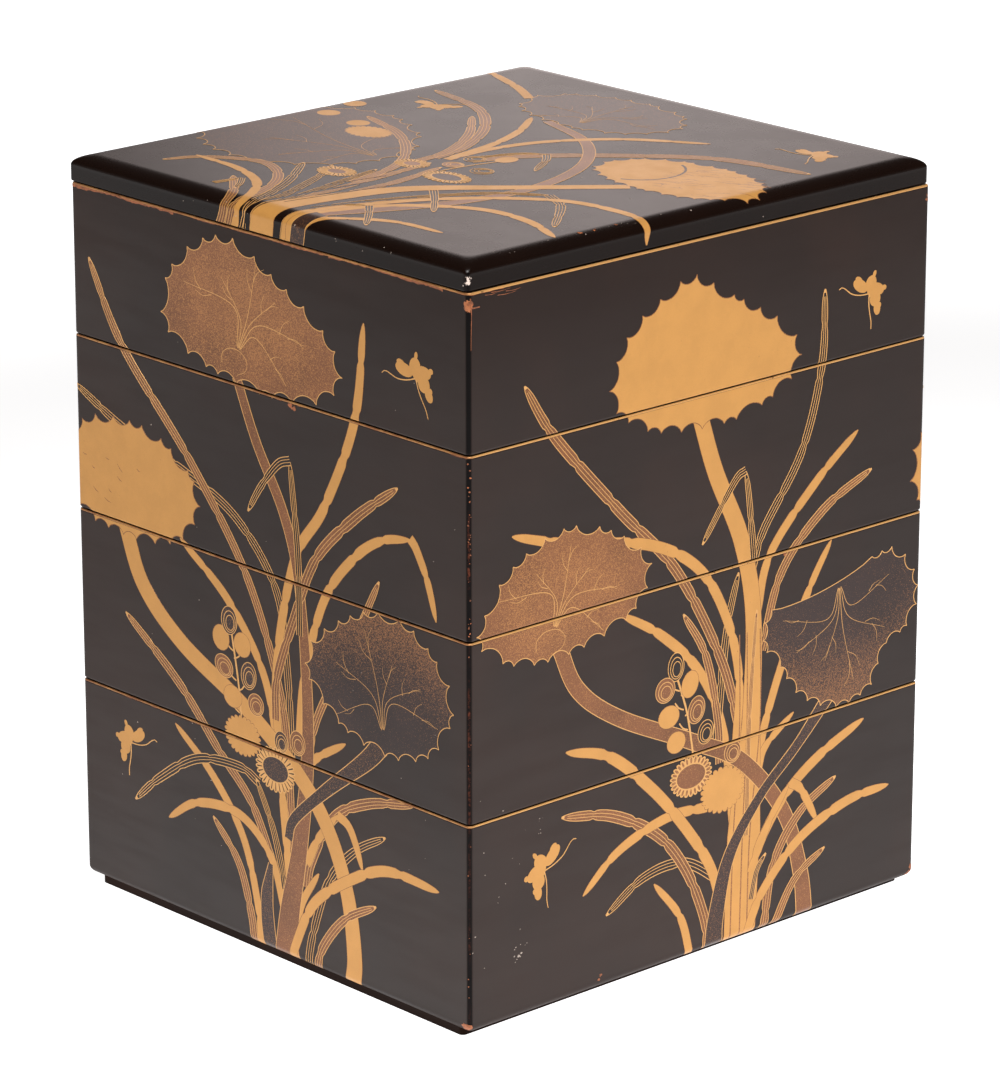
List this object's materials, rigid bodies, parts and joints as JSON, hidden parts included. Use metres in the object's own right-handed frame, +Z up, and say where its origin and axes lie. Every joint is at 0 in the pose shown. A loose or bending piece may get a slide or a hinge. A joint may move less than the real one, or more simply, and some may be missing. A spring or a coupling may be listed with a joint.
{
  "type": "tiered lacquer food box",
  "caption": "Stacked food box of black-brown lacquered wood: open tiers nest mouth to foot under a lift-off lid, with plants and butterflies in gold on every side.",
  "frame": {"origin": "middle of the underside of the foot, on the surface that the box stands on", "axes": "+Z up through the stack to the lid; X along the narrower side, Y along the deeper side; the face with the flower stand of the picture's left side is -Y, and the picture's right side is +X"},
  "size_m": [0.2258, 0.2374, 0.2949],
  "materials": {
    "lacquer": "aged black-brown lacquer over wood, satin",
    "gold": "gold powder set in lacquer, satin, worn",
    "red_gold": "sparse gold powder over red-brown lacquer",
    "dark_gold": "gold and silver powder shading off over dark lacquer",
    "worn_edge": "undercoat and bare wood in chips and rubbed edges"
  },
  "bodies": {
    "root": {"lid": "lacquer", "top_tier": "lacquer", "second_tier": "lacquer", "third_tier": "lacquer", "bottom_tier": "lacquer"}
  },
  "joints": []
}
